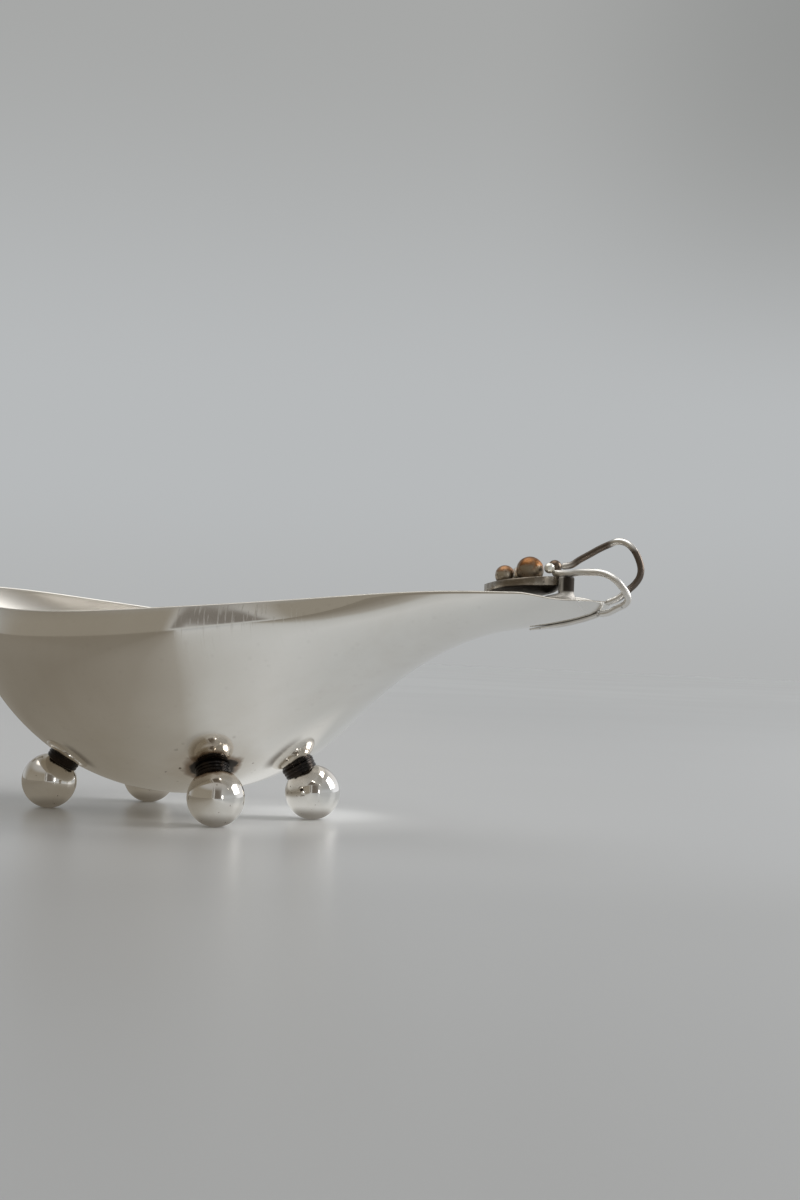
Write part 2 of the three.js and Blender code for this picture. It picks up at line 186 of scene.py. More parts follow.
ceiling = blend_colour(room, path.outputs["Is Glossy Ray"], CEILING, ceiling)
sides = blend_colour(room, ease(room, height, *CEILING_FROM), sides, ceiling)

# What the camera sees: the wall alone, darker in its upper right corner
corner = times(room, ease(room, rightward, *CORNER_FROM), ease(room, height, *HIGH_FROM))
wall = blend_colour(room, corner, wall, WALL_CORNER)
seen = blend_colour(room, path.outputs["Is Camera Ray"], sides, wall)
glow = add_node(room, "ShaderNodeBackground", {"Color": seen, "Strength": 1.0})
add_node(room, "ShaderNodeOutputWorld", {"Surface": glow.outputs[0]})


# The windows: two soft lamps on the right, a broad high one and a narrow far one.  Both face the
# bowl and show in its metal as pale patches.
WINDOW_AT = level_right * 0.95 + level_ahead * 0.15 + Vector((0, 0, 0.5))
FAR_WINDOW_AT = level_right * 0.75 - level_ahead * 1.25 + Vector((0, 0, 0.18))
WINDOWS_FACE = Vector((0, 0, 0.02))


def add_window(name, place, width, tall, power):
    """A rectangular lamp of some size in metres and some power in watts."""
    data = bpy.data.lights.new(name, "AREA")
    data.shape = "RECTANGLE"
    data.size = width
    data.size_y = tall
    data.energy = power
    lamp = bpy.data.objects.new(name, data)
    scene.collection.objects.link(lamp)
    lamp.location = place
    lamp.rotation_euler = (WINDOWS_FACE - place).to_track_quat("-Z", "Y").to_euler()
    lamp.visible_camera = False


add_window("window", WINDOW_AT, width=0.55, tall=0.6, power=6.5)
add_window("far_window", FAR_WINDOW_AT, width=0.07, tall=0.3, power=0.5)


# The bowl: one sheet of silver-plated metal, raised over a stake to a round body, whose rim is
# drawn out at both ends into a trough that serves as a handle.  Sizes are in millimetres.
BODY_RADIUS = 49.6
BOTTOM_HEIGHT = 4.6
WALL = 0.9
BODY_REACH = 30
RIM_TUCK = 3.6
RIM_TUCK_DEPTH = 12
RIM_TUCK_FADES_AT = 45
RIM_TUCK_FADE = 35
RIM_SIDE_HEIGHT = 42.5
RIM_HANDLE_HEIGHT = 49.25
RIM_HIGHEST_AT = 84
RIM_TIP_DROP = 1.1
RIM_DROP_AT = 92
RIM_DROP_LENGTH = 9
HANDLE_REACH = 105.4
NECK_AT = 80
NECK_HALF_WIDTH = 12.2
NECK_KEEL_HEIGHT = 41.7
NECK_SIDE_SLOPE = -0.15
NECK_KEEL_SLOPE = 0.21
TIP_HALF_WIDTH = 10
TIP_HOLLOW = 0.4
TIP_KEEL_SLOPE = 0.42
NOSE_LENGTH = 13.5
NOSE_TURN = 3
LIP_RISE = 0.3  # the rim is rounded over
BOWL_ROWS = 221
BOWL_STEPS = 73
LIP_STEPS = 8
body_centre = BOTTOM_HEIGHT + BODY_RADIUS


def hermite(x, x0, y0, slope0, x1, y1, slope1):
    """The cubic from (x0, y0) to (x1, y1) with a given slope at each end."""
    run = x1 - x0
    t = np.clip((x - x0) / run, 0, 1)
    rise = y1 - y0
    return y0 + t * rise + t * (1 - t) * ((slope0 * run - rise) * (1 - t) + (rise - slope1 * run) * t)


def slope_of(curve, at):
    """Rise over run of a curve at some place, over a hundredth of a millimetre each way."""
    step = 0.01
    return (curve(at + step) - curve(at - step)) / (2 * step)


def rounded_end(at, end, stretch):
    """A quarter ellipse that falls from 1 to 0 over the last stretch before the end."""
    t = np.clip((at - (end - stretch)) / stretch, 0, 1)
    return np.sqrt(1 - t * t)


def half_wave(share):
    """Half a cosine wave, from 0 up to 1."""
    return (1 - np.cos(np.pi * np.clip(share, 0, 1))) / 2


def rim_height(at):
    """Half a wave up from the sides to the handles, then a small one down to the tip."""
    climb = (RIM_HANDLE_HEIGHT - RIM_SIDE_HEIGHT) * half_wave(at / RIM_HIGHEST_AT)
    drop = RIM_TIP_DROP * half_wave((at - RIM_DROP_AT) / RIM_DROP_LENGTH)
    return RIM_SIDE_HEIGHT + climb - drop


def body_keel(at):
    """Height of the sphere's underside."""
    return body_centre - np.sqrt(BODY_RADIUS**2 - np.minimum(at, BODY_REACH + 1) ** 2)


def body_half_width(at):
    """Half width of the sphere at the height of the rim."""
    near = np.minimum(at, BODY_REACH + 1)
    return np.sqrt(BODY_RADIUS**2 - near**2 - (body_centre - rim_height(near)) ** 2)


def half_width(at):
    """The sphere's, then a cubic to the neck, then a straight line to the tip."""
    start = (BODY_REACH, body_half_width(BODY_REACH), slope_of(body_half_width, BODY_REACH))
    drawn = hermite(at, *start, NECK_AT, NECK_HALF_WIDTH, NECK_SIDE_SLOPE)
    share = (at - NECK_AT) / (HANDLE_REACH - NECK_AT)
    tongue = NECK_HALF_WIDTH + (TIP_HALF_WIDTH - NECK_HALF_WIDTH) * share
    return np.where(at < BODY_REACH, body_half_width(at), np.where(at < NECK_AT, drawn, tongue))


def keel_height(at):
    """The sphere's, then a cubic to the neck, then a cubic to the tip."""
    start = (BODY_REACH, body_keel(BODY_REACH), slope_of(body_keel, BODY_REACH))
    neck = (NECK_AT, NECK_KEEL_HEIGHT, NECK_KEEL_SLOPE)
    tip = (HANDLE_REACH, rim_height(HANDLE_REACH) - WALL - TIP_HOLLOW, TIP_KEEL_SLOPE)
    drawn = hermite(at, *start, *neck)
    tongue = hermite(at, *neck, *tip)
    return np.where(at < BODY_REACH, body_keel(at), np.where(at < NECK_AT, drawn, tongue))


def bowl_skin(inset, stations, steps):
    """One side of the sheet, set in by some thickness.  Each row is a circular arc across the bowl,
    from rim to rim through the keel, turned in by the square of the nearness to the rim.  That
    fades by half a wave along the handle.  The rows lie at the sines of even angles."""
    x = (HANDLE_REACH - inset) * np.sin(np.linspace(-np.pi / 2, np.pi / 2, stations))[:, None]
    at = np.abs(x)
    reach = HANDLE_REACH - inset
    rim = rim_height(at)
    half = (half_width(at) - inset) * rounded_end(at, reach, NOSE_LENGTH - inset)
    sheet = inset * np.hypot(1, np.where(at > 1, slope_of(keel_height, at), 0))
    depth = (rim - keel_height(at) - sheet) * rounded_end(at, reach, NOSE_TURN)
    half_angle = np.maximum(2 * np.arctan2(depth, half), 1e-3)
    angle = half_angle * np.linspace(-1, 1, steps)[None, :]
    sag = half / np.sin(half_angle) * (np.cos(angle) - np.cos(half_angle))
    tuck = RIM_TUCK * (1 - half_wave((at - RIM_TUCK_FADES_AT) / RIM_TUCK_FADE)) / np.maximum(half, 1e-3)
    y = half / np.sin(half_angle) * np.sin(angle)
    y = y * (1 - tuck * np.clip(1 - sag / RIM_TUCK_DEPTH, 0, None) ** 2)
    return np.stack([np.broadcast_to(x, y.shape), y, rim - sag], axis=-1)


def lip(start, end, steps):
    """The rounded edge between two skins: half a cosine across and half a sine wave up."""
    t = np.linspace(0, 1, steps)[1:-1, None]
    edge = start[:, None] + (end - start)[:, None] * (1 - np.cos(np.pi * t)) / 2
    edge[..., 2] += LIP_RISE * np.sin(np.pi * t[:, 0])
    return edge


def new_piece(name, grid):
    """A closed mesh in metres from rows of points in millimetres.  Each row is a loop: its last
    point joins its first.  Points that fall together at poles and seams are welded."""
    rows, columns = grid.shape[:2]
    here = np.arange(rows * columns).reshape(rows, columns)
    beside = np.roll(here, -1, axis=1)
    faces = np.stack([here[:-1], beside[:-1], beside[1:], here[1:]], axis=-1).reshape(-1, 4)
    mesh = bpy.data.meshes.new(name)
    mesh.from_pydata((grid.reshape(-1, 3) * 0.001).tolist(), [], faces.tolist())
    shell = bmesh.new()
    shell.from_mesh(mesh)
    bmesh.ops.remove_doubles(shell, verts=shell.verts, dist=1e-7)
    bmesh.ops.recalc_face_normals(shell, faces=shell.faces)
    shell.to_mesh(mesh)
    shell.free()
    mesh.shade_smooth()
    piece = bpy.data.objects.new(name, mesh)
    scene.collection.objects.link(piece)
    return piece


def stand_for(piece, node, material):
    """The piece takes the place of a node and its material."""
    piece.data.materials.append(material)
    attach(piece, "root")
    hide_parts(node)


def new_group(name, inputs, outputs):
    """An empty shader group, with its numbers in and its masks out."""
    group = bpy.data.node_groups.new(name, "ShaderNodeTree")
    for label, value in inputs.items():
        socket = group.interface.new_socket(label, in_out="INPUT", socket_type="NodeSocketFloat")
        socket.default_value = value
    for label in outputs:
        group.interface.new_socket(label, in_out="OUTPUT", socket_type="NodeSocketFloat")
    return group, group.nodes.new("NodeGroupInput").outputs, group.nodes.new("NodeGroupOutput")


# Hairlines: three sheaves of fine wiping marks, each a noise drawn out along one direction and
# cut off a little above its middle value.
SHEAVES = (((0.2, 0.5, 0.3), 2600), ((0.9, -0.4, 1.4), 2100), ((-0.6, 0.8, 2.4), 3100))  # turn, fineness

hairlines, given, out = new_group("hairlines", {"Density": 1.0}, ["Mask"])
spot = add_node(hairlines, "ShaderNodeTexCoord").outputs["Object"]
sheaves = []
for sheaf_turn, fine in SHEAVES:
    laid = add_node(hairlines, "ShaderNodeMapping", {
        "Vector": spot, "Rotation": sheaf_turn, "Scale": (fine, 70, 160)})
    grain = add_node(hairlines, "ShaderNodeTexNoise", {
        "Vector": laid.outputs[0], "Scale": 1.0, "Detail": 1.0, "Roughness": 0.4})
    sheaves.append(ease(hairlines, grain.outputs["Fac"], 0.66, 0.74))
both = maths(hairlines, "MAXIMUM", sheaves[0], sheaves[1])
every = maths(hairlines, "MAXIMUM", both, sheaves[2])
hairlines.links.new(maths(hairlines, "MULTIPLY", every, given["Density"]), out.inputs["Mask"])

# Bloom: the uneven haze of tarnish that comes back between cleanings, a coarse noise broken up by
# a finer one.
bloom, given, out = new_group("bloom", {"Size": 30.0, "Cover": 0.5}, ["Mask"])
spot = add_node(bloom, "ShaderNodeTexCoord").outputs["Object"]
coarse = add_node(bloom, "ShaderNodeTexNoise", {"Vector": spot, "Scale": given["Size"],
                                                "Detail": 5.0, "Roughness": 0.6, "Distortion": 0.6})
veil = maths(bloom, "ADD", coarse.outputs["Fac"], maths(bloom, "SUBTRACT", given["Cover"], 0.5))
bloom.links.new(ease(bloom, veil, 0.35, 0.75), out.inputs["Mask"])

# Specks: scattered pinhead spots of tarnish, where the plate is pitted.  They are the hearts of
# some cells of a cell pattern.
specks, given, out = new_group("specks", {"Size": 600.0, "Cover": 0.5}, ["Mask"])
spot = add_node(specks, "ShaderNodeTexCoord").outputs["Object"]
cells = add_node(specks, "ShaderNodeTexVoronoi", {"Vector": spot, "Scale": given["Size"]})
chosen = add_node(specks, "ShaderNodeSeparateColor", {"Color": cells.outputs["Color"]})
reach = ease(specks, chosen.outputs[0], maths(specks, "SUBTRACT", 1.0, given["Cover"]), 1.0, 0.0, 0.5)
dot = maths(specks, "SUBTRACT", reach, cells.outputs["Distance"])
specks.links.new(ease(specks, dot, 0.0, 0.12), out.inputs["Mask"])


def mask(tree, group, **numbers):
    """One of the shared effects, placed in a material with its own numbers."""
    node = add_node(tree, "ShaderNodeGroup", node_tree=group)
    for label, value in numbers.items():
        node.inputs[label].default_value = value
    return node.outputs["Mask"]


def distance(tree, place, other):
    """How far one place is from another."""
    return add_node(tree, "ShaderNodeVectorMath", {0: place, 1: other},
                    operation="DISTANCE").outputs["Value"]


def built_up(tree, value, *layers):
    """The value plus some masks, each times its own share."""
    for where, share in layers:
        value = maths(tree, "MULTIPLY_ADD", where, share, value)
    return value


def coated(tree, tint, *coats):
    """The tint under some coats.  Each has a mask, the share that it covers there, and its colour."""
    for where, share, colour in coats:
        tint = blend_colour(tree, maths(tree, "MULTIPLY", where, share), tint, colour)
    return tint


def raised(tree, value, depth, before=None):
    """A bump of some depth in metres, on top of an earlier one."""
    inputs = {"Height": value, "Distance": depth, "Strength": 1.0}
    if before is not None:
        inputs["Normal"] = before
    return add_node(tree, "ShaderNodeBump", inputs).outputs["Normal"]


def new_metal(name, **constants):
    """A metal material and its tree, with the shader's fixed values on its own sockets."""
    material = bpy.data.materials.new(name)
    material.use_nodes = True
    tree = material.node_tree
    tree.nodes.clear()
    shader = add_node(tree, "ShaderNodeBsdfPrincipled", {"Metallic": 1.0, **constants})
    add_node(tree, "ShaderNodeOutputMaterial", {"Surface": shader.outputs[0]})
    return material, tree, shader


def dress(tree, shader, tint, rough, normal):
    """The metal's colour, roughness and relief, linked to its shader."""
    for label, value in (("Base Color", tint), ("Roughness", rough), ("Normal", normal)):
        tree.links.new(value, shader.inputs[label])


SILVER = (0.88, 0.865, 0.835, 1)
WARM_TARNISH = (0.56, 0.47, 0.36, 1)
BROWN_TARNISH = (0.2, 0.125, 0.07, 1)
# Black tarnish, which also serves as the painted shade on each post's outer side
BLACK_TARNISH_AND_SHADE = (0.035, 0.028, 0.022, 1)
BOWL_SPECK = (0.12, 0.085, 0.055, 1)
# Painted shade: the lip is darkened where it faces up, which keeps the bright light overhead out of it.
SHADED_LIP = (0.4, 0.37, 0.32, 1)
# Where each begins and is full, in metres: round a foot, towards the front, and along the handle
BLACK_ROUND_FOOT = (0.005, 0.0042)
BROWN_ROUND_FOOT = (0.0068, 0.005)
WARM_ROUND_FOOT = (0.013, 0.005)
STAIN_WANDERS = 0.004
FRONT_WAY = (0.6, -0.8, 0)
FRONT_FROM = (0.0, 0.02)
SATIN_NOSE_FROM = (0.1, 0.1035)
INSIDE_FROM = (0.0, -0.003)  # the way out from the body's centre along the normal, in metres
LIP_FROM = (0.2, 0.5)  # the normal's upward share
PLANISHING = 0.00006
BOWL_SCRATCH = 0.0000012
# The feet's sizes and places, which the tarnish round them needs first, in millimetres
BALL_RADIUS = 6
BALL_WORN_FLAT = 0.1
BALL_TO_BOWL = 0.8
FOOT_ANGLE = math.radians(33.2)
ball_height = BALL_RADIUS - BALL_WORN_FLAT
ball_to_body = BODY_RADIUS + BALL_TO_BOWL + BALL_RADIUS
foot_reach = math.sqrt(ball_to_body**2 - (body_centre - ball_height) ** 2)
foot_x = foot_reach * math.cos(FOOT_ANGLE)
foot_y = foot_reach * math.sin(FOOT_ANGLE)
foot_share = BODY_RADIUS / ball_to_body  # how far out towards a ball the bowl's skin lies
foot_spot = Vector((foot_x * foot_share, foot_y * foot_share,
                    body_centre - (body_centre - ball_height) * foot_share)) * 0.001

outer = bowl_skin(0, BOWL_ROWS, BOWL_STEPS)
inner = bowl_skin(WALL, BOWL_ROWS, BOWL_STEPS)
loop = np.concatenate([outer, lip(outer[:, -1], inner[:, -1], LIP_STEPS), inner[:, ::-1],
                       lip(inner[:, 0], outer[:, 0], LIP_STEPS)], axis=1)
bowl = new_piece("silver_bowl", loop)
polished, tree, shader = new_metal("polished_silver")
spot = add_node(tree, "ShaderNodeTexCoord").outputs["Object"]
facing = add_node(tree, "ShaderNodeNewGeometry").outputs["Normal"]
from_middle = add_node(tree, "ShaderNodeVectorMath", {0: spot, 1: (0, 0, body_centre * 0.001)},
                       operation="SUBTRACT").outputs["Vector"]
inside = ease(tree, along(tree, facing, from_middle), *INSIDE_FROM)
outside = maths(tree, "SUBTRACT", 1.0, inside)
on_lip = times(tree, ease(tree, along(tree, facing, (0, 0, 1)), *LIP_FROM), outside)
at_nose = ease(tree, maths(tree, "ABSOLUTE", along(tree, spot, (1, 0, 0))), *SATIN_NOSE_FROM)
folded = add_node(tree, "ShaderNodeVectorMath", {0: spot}, operation="ABSOLUTE").outputs[0]
ragged = add_node(tree, "ShaderNodeTexNoise", {"Vector": spot, "Scale": 260.0, "Detail": 2.0})
wander = maths(tree, "MULTIPLY_ADD", ragged.outputs["Fac"], STAIN_WANDERS, -STAIN_WANDERS / 2)
from_foot = maths(tree, "ADD", distance(tree, folded, foot_spot), wander)
from_foot = maths(tree, "ADD", from_foot, inside)  # the stains are on the outside only
at_front = ease(tree, along(tree, spot, FRONT_WAY), *FRONT_FROM)
black = ease(tree, from_foot, *BLACK_ROUND_FOOT)
brown = times(tree, ease(tree, from_foot, *BROWN_ROUND_FOOT), at_front)
halo = times(tree, ease(tree, from_foot, *WARM_ROUND_FOOT), at_front)
haze = mask(tree, bloom, Size=26.0, Cover=0.5)
dots = mask(tree, specks, Size=900.0, Cover=0.16)
lines = mask(tree, hairlines, Density=1.0)
dots = times(tree, dots, built_up(tree, 0.03, (halo, 0.9)))
warm = built_up(tree, 0.0, (haze, 0.17), (halo, 0.3), (inside, 0.16))
tint = coated(tree, SILVER, (warm, 1.0, WARM_TARNISH), (dots, 1.0, BOWL_SPECK),
              (brown, 0.8, BROWN_TARNISH), (black, 1.0, BLACK_TARNISH_AND_SHADE), (on_lip, 0.8, SHADED_LIP))
satin = maths(tree, "MAXIMUM", inside, on_lip)
rough = built_up(tree, 0.055, (haze, 0.05), (lines, 0.06), (black, 0.35), (satin, 0.38), (at_nose, 0.25))
planished = add_node(tree, "ShaderNodeTexNoise", {"Vector": spot, "Scale": 70.0, "Detail": 1.0})
relief = raised(tree, planished.outputs["Fac"], PLANISHING)
dress(tree, shader, tint, rough, raised(tree, lines, BOWL_SCRATCH, relief))
stand_for(bowl, "bowl", polished)


# The feet: four cast silver balls, worn flat where they stand, each soldered to the bowl over a
# short collar that has gone black.
COLLAR_RADIUS = 3.5
COLLAR_BORE = 1.6
COLLAR_FLARE = 0.15  # the collar widens a little towards the bowl
COLLAR_RIDGE = 0.1  # height of its fine turned ridges
COLLAR_RIDGES = 3
COLLAR_SIDES = 64
BALL_RINGS = 64
BALL_SIDES = 112
BALL_SPECK = (0.2, 0.15, 0.1, 1)
WARM_BALL_FROM = (0.0055, 0.011)  # in metres up from the table
BALL_SCRATCH = 0.000001
COLLAR_BLACK = (0.012, 0.01, 0.009, 1)
COLLAR_BROWN = (0.04, 0.028, 0.02, 1)
COLLAR_SPECK = (0.09, 0.065, 0.045, 1)
COLLAR_GLOSS = (0.22, 0.45)
COLLAR_CRUST = 0.00012


def turned(radius, height, sides):
    """A profile of radii and heights, carried round the Z axis."""
    round_angle = np.arange(sides) * 2 * np.pi / sides
    x = radius[:, None] * np.cos(round_angle)
    y = radius[:, None] * np.sin(round_angle)
    return np.stack([x, y, np.broadcast_to(height[:, None], x.shape)], axis=-1)


def ball_grid():
    """A circle carried round Z, from the worn flat underneath to the top."""
    rise = np.linspace(-math.asin(ball_height / BALL_RADIUS), np.pi / 2, BALL_RINGS)
    radius = np.concatenate([[0], BALL_RADIUS * np.cos(rise)])
    radius[-1] = 0
    height = np.concatenate([[-ball_height], BALL_RADIUS * np.sin(rise)])
    return turned(radius, height, BALL_SIDES)


def collar_grid():
    """A ring between the ball's and the body's round surfaces.  Its outer wall widens towards the
    bowl by the square of the way up, and has three ridges, each a sine wave squared."""
    bore_to_rim = np.linspace(COLLAR_BORE, COLLAR_RADIUS, 6)
    rim_to_bore = np.linspace(COLLAR_RADIUS + COLLAR_FLARE, COLLAR_BORE, 6)
    on_ball = np.sqrt(BALL_RADIUS**2 - bore_to_rim**2)
    on_body = ball_to_body - np.sqrt(BODY_RADIUS**2 - rim_to_bore**2)
    t = np.linspace(0, 1, 44)[1:-1]
    ridges = COLLAR_RIDGE * np.sin(COLLAR_RIDGES * np.pi * t) ** 2
    wall_radius = COLLAR_RADIUS + COLLAR_FLARE * t**2 + ridges
    wall_height = on_ball[-1] + (on_body[0] - on_ball[-1]) * t
    radius = np.concatenate([bore_to_rim, wall_radius, rim_to_bore, [COLLAR_BORE]])
    height = np.concatenate([on_ball, wall_height, on_body, on_ball[:1]])
    return turned(radius, height, COLLAR_SIDES)


foot_silver, tree, shader = new_metal("foot_silver")
haze = mask(tree, bloom, Size=90.0, Cover=0.5)
dots = mask(tree, specks, Size=1900.0, Cover=0.08)
lines = mask(tree, hairlines, Density=0.8)
lifted = along(tree, add_node(tree, "ShaderNodeTexCoord").outputs["Object"], (0, 0, 1))
warm = built_up(tree, 0.0, (haze, 0.22), (ease(tree, lifted, *WARM_BALL_FROM), 0.5))
tint = coated(tree, SILVER, (warm, 1.0, WARM_TARNISH), (dots, 0.35, BALL_SPECK))
rough = built_up(tree, 0.035, (haze, 0.05), (dots, 0.3))
dress(tree, shader, tint, rough, raised(tree, lines, BALL_SCRATCH))

darkened, tree, shader = new_metal("blackened_collar", Metallic=0.8)
haze = mask(tree, bloom, Size=260.0, Cover=0.45)
dots = mask(tree, specks, Size=1500.0, Cover=0.35)
tint = coated(tree, COLLAR_BLACK, (haze, 1.0, COLLAR_BROWN), (dots, 0.4, COLLAR_SPECK))
crust = add_node(tree, "ShaderNodeTexNoise", {
    "Vector": add_node(tree, "ShaderNodeTexCoord").outputs["Object"], "Scale": 1100.0, "Detail": 4.0})
dress(tree, shader, tint, ease(tree, haze, 0, 1, *COLLAR_GLOSS),
      raised(tree, crust.outputs["Fac"], COLLAR_CRUST))

for corner, way_x, way_y in (("front", 1, -1), ("right", 1, 1), ("back", -1, 1), ("left", -1, -1)):
    centre = np.array([foot_x * way_x, foot_y * way_y, ball_height])
    ball = new_piece(f"ball_{corner}", ball_grid() + centre)
    stand_for(ball, f"foot_ball_{corner}", foot_silver)
    lean = Vector((0, 0, 1)).rotation_difference(Vector((0, 0, body_centre)) - Vector(centre))
    collar = new_piece(f"collar_{corner}", collar_grid() @ np.array(lean.to_matrix()).T + centre)
    stand_for(collar, f"foot_collar_{corner}", darkened)


# The leaf of each handle: a cast leaf-shaped dish with a full belly, chased with a midrib and side
# veins, whose round end is soldered to the post.  Its under side is painted nearly black: painted
# shade under the leaf, and the dark that it mirrors from the trough.
POST_RADIUS = 1.5
POST_FROM_TIP = 8.9
POST_ABOVE_RIM = 3.7
SOLDER_GAP = 0.3
LEAF_LENGTH = 16.9
LEAF_HALF_WIDTH = 5.3
LEAF_WIDEST_AT = 0.58
LEAF_THICKNESS = 1.7
LEAF_HOLLOW = 1.15
LEAF_BELLY = 2.3
LEAF_ABOVE_RIM = 3.75
LEAF_DIP = 1.7
LEAF_SHALLOWER = 0.4  # share of the belly that is lost on the way to the post
LEAF_BLUNTNESS = 8
LEAF_EDGE_SWELL = 0.3
LEAF_ROWS = 91
LEAF_STEPS = 57
MIDRIB_DEPTH = 0.28
MIDRIB_WIDTH = 0.09  # as a share of the half width
VEIN_DEPTH = 0.16
VEIN_COUNT = 7
VEIN_LEAN = 2.2
VEINS_UNDERNEATH = 0.25  # how much of them shows on the under side
LEAF_SILVER = (0.42, 0.385, 0.33, 1)
LEAF_TARNISH = (0.2, 0.165, 0.125, 1)
LEAF_UNDER_SHADE = (0.02, 0.016, 0.013, 1)
LEAF_SPECK = (0.05, 0.035, 0.025, 1)
UNDER_FROM = (-0.12, -0.45)  # the normal's upward share
CHASING = 0.00008
LEAF_SCRATCH = 0.000002
leaf_edge = RIM_HANDLE_HEIGHT + LEAF_ABOVE_RIM
post_at = HANDLE_REACH - POST_FROM_TIP
post_top = RIM_HANDLE_HEIGHT + POST_ABOVE_RIM
leaf_end = post_at - POST_RADIUS
leaf_start = leaf_end - LEAF_LENGTH - SOLDER_GAP


def leaf_point(share, across):
    """Upper side of the leaf.  Its half width is a cosine up from the point, then a quarter ellipse
    to the round end.  It sags by a sine wave along it and a parabola across it."""
    grown = np.cos(np.pi / 2 * (1 - np.minimum(share / LEAF_WIDEST_AT, 1)))
    width = LEAF_HALF_WIDTH * grown * rounded_end(share, 1, 1 - LEAF_WIDEST_AT)
    sag = LEAF_HOLLOW * np.sin(np.pi * share) * (1 - across**2)
    x = leaf_start + share * (leaf_end - leaf_start) + 0 * across
    z = leaf_edge - LEAF_DIP * (1 - share) - sag
    return np.stack(np.broadcast_arrays(x, across * width, z), axis=-1)


def leaf_under(share, across):
    """Height of the leaf's under side, a fuller bulge that is blunt at both ends and gets evenly
    shallower towards the post."""
    blunt = 1 - (2 * share - 1) ** LEAF_BLUNTNESS
    bulge = LEAF_BELLY * (1 - LEAF_SHALLOWER * share) * blunt * (1 - across**2)
    return leaf_edge - LEAF_DIP * (1 - share) - LEAF_THICKNESS - bulge


def vein_depth(share, across):
    """A midrib groove, and side veins that run forward from it, each a narrow bell."""
    inside = np.sin(np.pi * share) * (1 - across**2)
    midrib = np.exp(-((across / MIDRIB_WIDTH) ** 2))
    wave = np.cos(2 * np.pi * (VEIN_COUNT * share - VEIN_LEAN * np.abs(across)))
    return inside * (MIDRIB_DEPTH * midrib + VEIN_DEPTH * np.clip(wave, 0, 1) ** 6)


def leaf_grid():
    """Upper side, rounded edge, under side and edge again, each row a loop across the leaf."""
    share = ((1 - np.cos(np.linspace(0, np.pi, LEAF_ROWS))) / 2)[:, None]
    across = np.linspace(-1, 1, LEAF_STEPS)[None, :]
    above = leaf_point(share, across)
    below = above.copy()
    above[..., 2] -= vein_depth(share, across)
    below[..., 2] = leaf_under(share, across) + VEINS_UNDERNEATH * vein_depth(share, across)
    t = np.linspace(0, np.pi, 8)[None, 1:-1]
    edges = []
    for side, start, end in ((1, above[:, -1], below[:, -1]), (-1, below[:, 0], above[:, 0])):
        edge = start[:, None] + (end - start)[:, None] * ((1 - np.cos(t)) / 2)[..., None]
        edge[..., 1] += side * LEAF_EDGE_SWELL * np.sin(t) * np.sin(np.pi * share)
        edges.append(edge)
    return np.concatenate([above, edges[0], below[:, ::-1], edges[1]], axis=1)


leaf_silver, tree, shader = new_metal("leaf_silver")
haze = mask(tree, bloom, Size=240.0, Cover=0.55)
dots = mask(tree, specks, Size=1400.0, Cover=0.2)
lines = mask(tree, hairlines, Density=1.0)
facing = add_node(tree, "ShaderNodeNewGeometry").outputs["Normal"]
# Painted shade: the faces that look down are turned nearly black.
under = ease(tree, along(tree, facing, (0, 0, 1)), *UNDER_FROM)
tint = coated(tree, LEAF_SILVER, (haze, 1.0, LEAF_TARNISH), (under, 0.96, LEAF_UNDER_SHADE),
              (dots, 0.5, LEAF_SPECK))
rough = built_up(tree, 0.2, (haze, 0.18), (under, 0.15))
chased = add_node(tree, "ShaderNodeTexNoise", {
    "Vector": add_node(tree, "ShaderNodeTexCoord").outputs["Object"], "Scale": 700.0, "Detail": 3.0})
relief = raised(tree, chased.outputs["Fac"], CHASING)
dress(tree, shader, tint, rough, raised(tree, lines, LEAF_SCRATCH, relief))

SIDES = (("right", 1), ("left", -1))  # the left handle is the right one, turned half round
half_turn = np.array([-1, -1, 1])


def on_side(grid, way):
    """The grid as it is, or turned half round about the middle of the bowl."""
    return grid if way > 0 else grid * half_turn


for side, way in SIDES:
    leaf = new_piece(f"leaf_dish_{side}", on_side(leaf_grid(), way))
    stand_for(leaf, f"leaf_{side}", leaf_silver)


# The berries: five silver beads.  Three are soldered into each leaf, and two on either side of the
# low tendril's end.  Amber gilding is left on the tops of some, and one has gone dark.
GILDING = {"middle": 0.85, "small": 0.25, "large": 1.0, "near": 0.0, "end": 0.7}
TARNISH = {"middle": 0.1, "small": 0.0, "large": 0.35, "near": 0.0, "end": 1.0}
BEAD_ABOVE_LEAF = 0.1
BEAD_DRAWN_IN = 0.015
BEAD_RINGS = 33
BEAD_SIDES = 56
BARE_BEAD = (0.85, 0.83, 0.76, 1)
ONCE_GILT_BEAD = (0.44, 0.37, 0.275, 1)
AMBER_GILDING = (0.27, 0.105, 0.025, 1)
BEAD_UNDERNEATH = (0.16, 0.13, 0.1, 1)
DARK_BEAD = (0.09, 0.06, 0.04, 1)
BEAD_SPECK = (0.08, 0.05, 0.03, 1)
GILT_FROM = (0.2, 0.9)  # height above the bead's middle, as a share of its radius
UNDERNEATH_FROM = (0.1, -0.6)
BEAD_GLOSS = (0.34, 0.46)
BEAD_PITTING = 0.00006
# Radius, and the place along and across the leaf as shares of its length and half width
LEAF_BERRIES = (("middle", 1.95, 0.32, -0.42), ("small", 1.75, 0.361, 0.82),
                ("large", 2.7, 0.64, -0.02))
# Radius, and the place back from the post, sideways and above the leaf's edge
TENDRIL_BERRIES = (("near", 1.0, 3.05, -1.4, 1.5), ("end", 1.35, 3.6, 1.5, 1.9))


def berry_centre(radius, along_share, across_share):
    """The bead stands on the leaf's upper side, square to it."""
    step = 0.02
    here = leaf_point(np.array(along_share), np.array(across_share))
    forward = leaf_point(np.array(along_share + step), np.array(across_share)) - here
    sideways = leaf_point(np.array(along_share), np.array(across_share + step)) - here
    square = np.cross(forward, sideways)
    return here + square / np.linalg.norm(square) * (radius + BEAD_ABOVE_LEAF)


